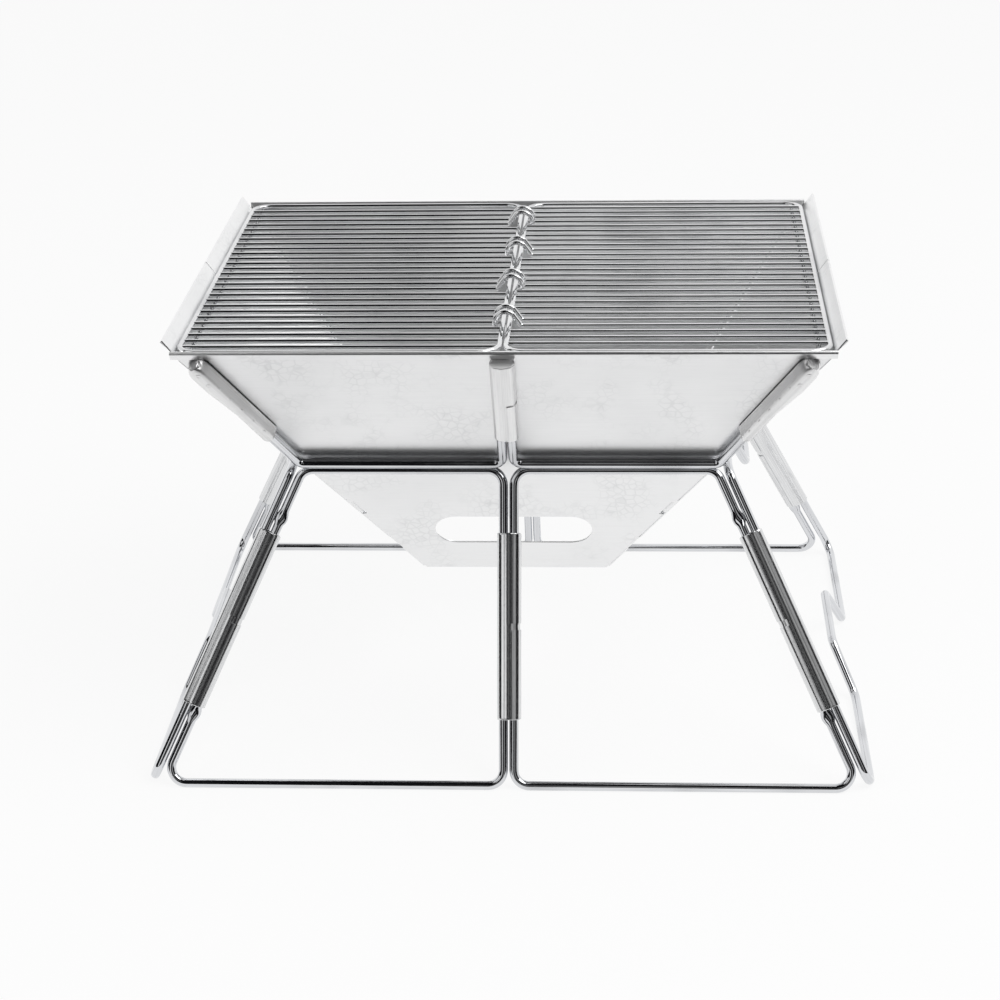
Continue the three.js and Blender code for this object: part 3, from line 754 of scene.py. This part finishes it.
def ventOutline(centre):
    radius, steps = boxSize["ventWidth"] / 2, boxSize["ventSteps"]
    shift = Vector((boxSize["ventLength"] / 2 - radius, 0))
    right = arcPoints(centre + shift, radius, -math.pi / 2, math.pi / 2, steps)
    left = arcPoints(centre - shift, radius, math.pi / 2, math.pi * 1.5, steps)
    return right + left


# a shallow round weld mark: a ring with a sunk middle
def addWeldMark(shape, centre, outwards, radius):
    across = outwards.orthogonal().normalized() * radius
    other = outwards.cross(across)
    shape.rings([ovalRing(centre + outwards * lift, across * reach, other * reach, weldSides)
                 for reach, lift in weldProfile])


# the section of a clip's strip, pressed up over the wire: (inboard to outboard, off the plate)
def clipSection(left, right, bore, crest):
    flatLeft, flatRight = left * 0.72, right * 0.78
    return [(left, -bore - 0.3), (left, -bore + 0.35), (left * 0.94, -bore + 0.7),
            (flatLeft, crest - 1.0), (flatLeft * 0.8, crest - 0.25), (flatLeft * 0.5, crest + 0.1),
            (flatRight * 0.4, crest + 0.1), (flatRight * 0.8, crest - 0.3), (flatRight, crest - 1.1),
            (right * 0.94, -bore + 0.75), (right, -bore + 0.35), (right, -bore - 0.3)]


# clip: rolled round the wire's outer leg, its flanges spot-welded to the plate, wider and round at the top
def makeClip(loop, sx, outwards):
    size = clipSize
    start, end = (along(loop[0], loop[1], share) for share in size["ends"])
    bore = standSize["wire"] + boxSize["sleeveFit"]
    crest = bore + boxSize["sleeveWall"]
    across = towards(start, end).cross(outwards).normalized()
    if across.x * sx < 0:
        across.negate()
    turned = across.cross(outwards).dot(end - start) < 0
    clip = Shape()
    clip.rings(facing(tubeRings(start, end, across, outwards, crest, bore, size), turned), closed=True)
    rings = []
    for share, inboard, outboard in clipStops:
        wider = min(1, max(0, (share - size["widerFrom"]) / size["widerOver"]))
        left = -(bore + size["inner"]) * inboard
        right = (bore + size["foot"] + (size["head"] - size["foot"]) * wider) * outboard
        section = clipSection(left, right, bore, crest)
        rings.append([along(start, end, share) + across * u + outwards * v for u, v in section])
    clip.rings(facing(rings, not turned))
    for share in size["welds"]:
        shift = across * size["weldShift"] + outwards * (crest + size["weldLift"])
        addWeldMark(clip, along(start, end, share) + shift, outwards, size["weld"])
    for share in size["spots"]:
        shift = outwards * (crest + size["spotLift"]) - across * ((bore + size["inner"]) * size["spotShift"])
        addWeldMark(clip, along(start, end, share) + shift, outwards, size["spot"])
    return clip


# the hem's section, folded back outside the plate: (off the plate, up its slope)
def hemSection():
    thick, gap, drop, lip = boxSize["sheet"], hemSize["gap"], hemSize["drop"], hemSize["lipRound"]
    foldRadius = thick + gap / 2
    centre = Vector((foldRadius - thick / 2, -foldRadius))
    outer, inner = (arcPoints(centre, radius, math.pi, 0, hemSize["steps"]) for radius in (foldRadius, gap / 2))
    near, far = thick / 2 + gap, thick * 1.5 + gap
    edge = [Vector((far, lip - drop)), Vector((far - lip, -drop)),
            Vector((near + lip, -drop)), Vector((near, lip - drop))]
    root = Vector((thick / 2 - hemSize["rootSink"], -foldRadius - hemSize["root"]))
    return [Vector((-root.x, root.y)), *outer, *edge, *inner[::-1], root]


# U-shaped wire, whose outer leg ends in the clip and whose inner leg ends in the centre sleeve
def makeBoxWire(loop):
    tips = [along(loop[0], loop[1], boxSize["wireTop"]), along(loop[3], loop[2], boxSize["wireTop"])]
    path = spread(roundedPath([tips[0], loop[0], loop[3], tips[1]], boxSize["bend"], closed=False),
                  standSize["step"], closed=False)
    rings = wireRings(path, standSize["wire"], standSize["sides"], False, loopNormal(loop))
    return Shape().rings(roundedEnds(rings, boxSize["wireTip"]))


def makeCentreSleeve(pair, outwards):
    foot, head = (along(pair["left"][i], pair["right"][i], 0.5) for i in (3, 2))
    start, end = (along(foot, head, share) for share in boxSize["centreEnds"])
    sideways, half = Vector((1, 0, 0)), standSize["gap"] / 2
    sleeve = addSleeve(Shape(), start, end, sideways, half, outwards)
    x, y, _ = sleeveFrame(foot, head, sideways)
    section = sleeveSection(half, sleeveSize["inner"] + sleeveSize["boreRim"])
    sleeve.rings([placed(section, x, y, along(foot, head, share)) for share in boxSize["plug"]])
    weld = along(foot, head, boxSize["centreWeld"]) + outwards * sleeveSize["outer"] + sideways
    addWeldMark(sleeve, weld, outwards, boxSize["centreWeldSize"])
    return sleeve


# front or rear plate, with its vent, knuckles and the hem folded down outside
def makeFacePlate(sy, outwards):
    inward = Vector((1, 0, 0))
    inset = boxSize["edgeGap"] / math.cos(math.atan(sideSpread * math.cos(faceTilt)))
    corners = [onPlates(sx, sy, z) - inward * (sx * inset)
               for sx, z in ((-1, funnelHigh), (1, funnelHigh), (1, boxSize["rimHigh"]), (-1, boxSize["rimHigh"]))]
    footMiddle, rimMiddle = along(corners[0], corners[1], 0.5), along(corners[2], corners[3], 0.5)
    slope = towards(footMiddle, rimMiddle)
    place = sheetFrame(corners, outwards)
    below = [corner - slope * (boxSize["sheet"] + hemSize["gap"] / 2) for corner in corners[2:]]
    slots, deep = boxSize["edgeSlots"], boxSize["slotDeep"]
    outline = [corners[0], corners[1], *notched(corners[1], corners[2], slots, -inward, deep), *below,
               *notched(corners[3], corners[0], [1 - share for share in reversed(slots)], inward, deep)]
    vent = ventOutline((place.inverted() @ (footMiddle + slope * boxSize["ventRise"])).to_2d())
    plate = Shape().sheet(flattened(outline, place), [vent], boxSize["sheet"], place, boxSize["edge"])
    end, scale = hemSize["end"], hemSize["endScale"]
    stops = ((corners[3], 0, scale), (corners[3], end, 1), (corners[2], -end, 1), (corners[2], 0, scale))
    rings = [[corner + inward * push + outwards * (point.x * size) + slope * point.y for point in hemSection()]
             for corner, push, size in stops]
    plate.rings(facing(rings, sy < 0))
    for sx in sides.values():
        for share in hingeSize["face"]:
            addKnuckle(plate, cornerPinLine(sx, sy), share)
    return plate


for face, sy in faces.items():
    pair = {}
    outwards = outwardsOf(0, sy)
    name = face.capitalize()
    for side, sx in sides.items():
        top = onWires(sx, sy, boxTop)
        top.x -= sx * boxSize["legSplay"]
        loop = faceLoop(onWires(sx, sy, boxWaist), top, boxSize["legGap"])
        pair[side] = loop
        label = name + side.capitalize()
        wire = makeBoxWire(loop).build(f"box{label}Wire", brightWire, sharpFrom["wire"])
        standFor(wire, f"box_{face}_{side}_loop")
        clip = makeClip(loop, sx, outwards).build(f"box{label}Clip", clipMetal, sharpFrom["clip"])
        standFor(clip, f"box_{face}_{side}_corner_clip")
    sleeve = makeCentreSleeve(pair, outwards).build(f"box{name}CentreSleeve", clipMetal, sharpFrom["sleeve"])
    standFor(sleeve, f"box_{face}_centre_sleeve")
    plate = makeFacePlate(sy, outwards).build(f"box{name}Plate", plateMetal, sharpFrom["plate"])
    standFor(plate, f"box_{face}_plate")
print("firebox faces made")


# half a side, from the seam to the corner, with knuckles along both and a folded rim
def makeHalfPlate(sx, sy, openPivot):
    outwards = outwardsOf(sx, 0)
    inset = boxSize["edgeGap"] / math.cos(math.atan(faceSpread * math.cos(sideTilt)))
    inward = Vector((0, -sy, 0))

    def atSeam(z):
        return Vector((onPlates(sx, 0, z).x, sy * boxSize["seamGap"] / 2, z))

    def atCorner(z, gap):
        return onPlates(sx, sy, z) + inward * gap

    rim, top = boxSize["rimHigh"], boxSize["rimHigh"] + boxSize["sideRise"]
    seamFoot, cornerFoot = atSeam(funnelHigh), atCorner(funnelHigh, inset)
    seamTop, cornerTop = atSeam(top), atCorner(top, boxSize["cornerGap"])
    place = sheetFrame([seamFoot, cornerFoot, atCorner(rim - boxSize["sideHemRise"], inset)], outwards)
    own = [share for i, share in enumerate(hingeSize["seam"]) if (i % 2 == 0) == (sy < 0)]
    others = [share for share in hingeSize["seam"] if share not in own]
    seamCuts = notched(seamFoot, atSeam(rim), others, -inward, boxSize["seamSlotDeep"])
    edgeCuts = notched(cornerFoot, atCorner(rim, inset), hingeSize["face"][:2], inward, boxSize["slotDeep"])
    outline = [seamFoot, cornerFoot, *edgeCuts, atCorner(rim - boxSize["sideHemRise"], inset),
               cornerTop, seamTop, *seamCuts[::-1]]
    half = Shape().sheet(flattened(outline, place), [], boxSize["sheet"], place, boxSize["edge"])
    share = boxSize["sideHem"] / (seamTop - seamFoot).length
    hem = [along(seamTop, seamFoot, share), along(cornerTop, cornerFoot, share), cornerTop, seamTop]
    lift = Matrix.Translation(outwards * boxSize["sideHemLift"])
    half.sheet(flattened(hem, place), [], boxSize["sheet"], lift @ place, boxSize["sideHemEdge"])
    for share in own:
        addKnuckle(half, seamPinLine(sx), share)
    if not openPivot:
        for share in hingeSize["side"]:
            addKnuckle(half, cornerPinLine(sx, sy), share)
    return half


for side, sx in sides.items():
    for face, sy in faces.items():
        half = makeHalfPlate(sx, sy, openPivot=face == "rear" and side == "right")
        piece = half.build(f"box{side.capitalize()}{face.capitalize()}Half", plateMetal, sharpFrom["plate"])
        standFor(piece, f"box_{side}_{face}_half_plate")
print("firebox sides made")

# net
netSize = {
    "high": boxSize["rimHigh"] - 2, "endGap": 0.6, "middle": 1.7, "foldGap": 0.6,
    "frame": 1.4, "bend": 10, "step": 12.0, "bar": 1.25, "pitch": 9.2, "offset": 0.25, "wander": 0.12,
    "cross": 1.3, "crossInset": 5.2, "weld": 0.25,
    "hooks": (0.36, 0.12, -0.12, -0.36), "hookReach": 6, "curlStart": -35, "curl": 200, "curlSteps": 18,
    "tipBend": 2.2, "tipSteps": 10, "frameSides": 20, "barSides": 14, "seeds": {"left": 7, "right": 19},
}


def netReach(spreadOf, tilt, room):
    clear = boxSize["sheet"] / 2 + netSize["frame"] + room
    return (netSize["high"] - plateApex) * spreadOf - clear / math.cos(tilt)


netDeep = netReach(faceSpread, faceTilt, boxSize["fit"])
netLong = netReach(sideSpread, sideTilt, netSize["endGap"])
foldHigh = netSize["frame"] + netSize["foldGap"] / 2
hookRadius = math.hypot(netSize["middle"], foldHigh) + netSize["frame"] + netSize["foldGap"] + netSize["bar"]
barCount = math.floor((2 * netDeep - netSize["pitch"]) / netSize["pitch"])


def addBar(net, path, radius):
    net.rings(wireRings(path, radius, netSize["barSides"], False))


# half the net: its frame, bars, cross wire and hairpins, with the bars of the right half set half a pitch aside
def makeNetHalf(side, sx):
    size = netSize

    def at(x, y, z=0):
        return Vector((sx * x, y, size["high"] + z))

    def barPlace(i):
        return (i - (barCount - 1) / 2 + (0.5 if sx > 0 else 0) - size["offset"]) * size["pitch"]

    net = Shape()
    corners = [at(size["middle"], -netDeep), at(netLong, -netDeep), at(netLong, netDeep), at(size["middle"], netDeep)]
    points = spread(roundedPath(corners, size["bend"]), size["step"])
    net.rings(wireRings(points, size["frame"], size["frameSides"], True, loopNormal(corners)), closed=True)
    own = [share for i, share in enumerate(size["hooks"]) if (i % 2 == 0) == (sx < 0)]
    hookBars = [math.floor(share * barCount + (barCount - 1) / 2 + 0.5) for share in own]
    random.seed(size["seeds"][side])
    for i in range(barCount):
        if not any(i in (bar, bar + 1) for bar in hookBars):
            y = barPlace(i)
            aside = random.uniform(-size["wander"], size["wander"])
            addBar(net, [at(size["middle"], y), at(netLong / 2, y + aside), at(netLong, y)], size["bar"])
    drop = size["weld"] - size["bar"] - size["cross"]
    crossHalf, crossPlace = netDeep - size["frame"] / 2, netLong - size["crossInset"]
    addBar(net, [at(crossPlace, -crossHalf, drop), at(crossPlace, crossHalf, drop)], size["cross"])
    profile = [at(netLong, 0), at(size["middle"] + size["hookReach"], 0)]
    for i in range(size["curlSteps"] + 1):
        angle = math.radians(size["curlStart"] + i * size["curl"] / size["curlSteps"])
        profile.append(at(-hookRadius * math.sin(angle), 0, foldHigh + hookRadius * math.cos(angle)))
    for bar in hookBars:
        near, far = ([Vector((point.x, barPlace(i), point.z)) for point in profile] for i in (bar, bar + 1))
        path = roundedPath([*near, *far[::-1]], size["tipBend"], closed=False, steps=size["tipSteps"])
        addBar(net, path, size["bar"])
    return net


for side, sx in sides.items():
    half = makeNetHalf(side, sx).build(f"net{side.capitalize()}Half", netWire, sharpFrom["net"])
    standFor(half, f"net_{side}_half")
print("net made")

# the pins keep their CAD shape
for node, holder in frame["nodes"].items():
    if node.endswith("_pin"):
        holder.data.materials.clear()
        holder.data.materials.append(pinMetal)
        holder.data.shade_smooth()
        holder.data.set_sharp_from_angle(angle=math.radians(sharpFrom["pin"]))

# studio: a white floor and world; behind the camera a dark room with two tall bright panels for the metal to show
studio = {
    "floorHalf": 6.0, "floorColour": (0.93, 0.93, 0.93), "floorGlow": 0.88, "sheetEnd": (-0.31, -0.24),
    "white": (1.0, 1.0, 1.0), "dark": (0.006, 0.006, 0.007), "ambient": (0.55, 0.55, 0.55),
    "roomEdge": (0.14, 0.24), "roomTurn": (-0.06, 0.01), "roomTurnShift": 0.34, "asideFrom": 0.05,
    "nearEdge": (0.30, 0.36), "farEdge": (0.60, 0.68), "rightFrom": (-0.05, 0.05), "rightDimmer": 0.6,
    "middle": (0.02, 0.09), "middleLevel": 0.2, "panelTop": (0.55, 0.62),
}
# (name, place, size, power)
lamps = (("keyLamp", (1.1, -0.5, 1.7), (1.6, 1.2), 17.0), ("fillLamp", (-1.5, -0.9, 1.4), (1.4, 1.4), 5.0))
lampTarget = (0, 0, 0.1)


def seenRay(finish):
    camera = finish.node("ShaderNodeLightPath", out="Is Camera Ray")
    glossy = Wire(finish, camera.socket.node.outputs["Is Glossy Ray"])
    through = Wire(finish, camera.socket.node.outputs["Is Transmission Ray"])
    return camera, glossy, through


def addFloor():
    half = studio["floorHalf"]
    mesh = bpy.data.meshes.new("floor")
    mesh.from_pydata([(-half, -half, 0), (half, -half, 0), (half, half, 0), (-half, half, 0)], [], [(0, 1, 2, 3)])
    floor = bpy.data.objects.new("floor", mesh)
    bpy.context.scene.collection.objects.link(floor)
    finish = Finish("floorPaint")
    camera, glossy, through = seenRay(finish)
    paint = finish.node("ShaderNodeBsdfDiffuse", None, Color=(*studio["floorColour"], 1))
    # in the metal, the white sheet ends in front of the grill and the room is dark beyond it
    y = finish.node("ShaderNodeSeparateXYZ", None, finish.place(), out="Y")
    beyond = glossy * (1 - y.between(*studio["sheetEnd"]))
    light = finish.mixed(beyond, studio["white"], studio["dark"])
    glow = finish.node("ShaderNodeEmission", None, Color=light, Strength=1.0)
    share = ((camera + glossy + through).clamped() * studio["floorGlow"] + beyond).clamped()
    shown = finish.node("ShaderNodeMixShader", None, share, paint, glow)
    finish.node("ShaderNodeOutputMaterial", None, Surface=shown)
    mesh.materials.append(finish.material)


def addLamp(name, place, size, power):
    lamp = bpy.data.lights.new(name, "AREA")
    lamp.shape = "RECTANGLE"
    lamp.size, lamp.size_y = size
    lamp.energy = power
    holder = bpy.data.objects.new(name, lamp)
    holder.location = place
    holder.rotation_euler = (Vector(lampTarget) - Vector(place)).to_track_quat("-Z", "Y").to_euler()
    bpy.context.scene.collection.objects.link(holder)


def addWorld():
    world = bpy.data.worlds.new("studio")
    world.use_nodes = True
    bpy.context.scene.world = world
    finish = Finish("studio", world.node_tree)
    direction = finish.node("ShaderNodeTexCoord", out="Generated")
    x = finish.node("ShaderNodeSeparateXYZ", None, direction)
    y, z = (Wire(finish, x.socket.node.outputs[name]) for name in "YZ")
    camera, glossy, through = seenRay(finish)
    room = 1 - (y + x.between(*studio["roomTurn"]) * studio["roomTurnShift"]).between(*studio["roomEdge"])
    aside = (x / (studio["asideFrom"] - y)).maths("ABSOLUTE")
    panels = aside.between(*studio["nearEdge"]) * (1 - aside.between(*studio["farEdge"]))
    panels = panels * (1 - x.between(*studio["rightFrom"]) * studio["rightDimmer"])
    panels = panels + (1 - aside.between(*studio["middle"])) * studio["middleLevel"]
    panels = panels * (1 - z.between(*studio["panelTop"]))
    seen = finish.mixed((room * (1 - panels)).clamped(), studio["white"], studio["dark"])
    plain = finish.mixed((camera + through).clamped(), studio["ambient"], studio["white"])
    colour = finish.mixed(glossy, plain, seen)
    background = finish.node("ShaderNodeBackground", None, Color=colour, Strength=1.0)
    finish.node("ShaderNodeOutputWorld", None, Surface=background)


addFloor()
for lamp in lamps:
    addLamp(*lamp)
addWorld()
bpy.context.scene.view_settings.view_transform = "Standard"
print("studio made")
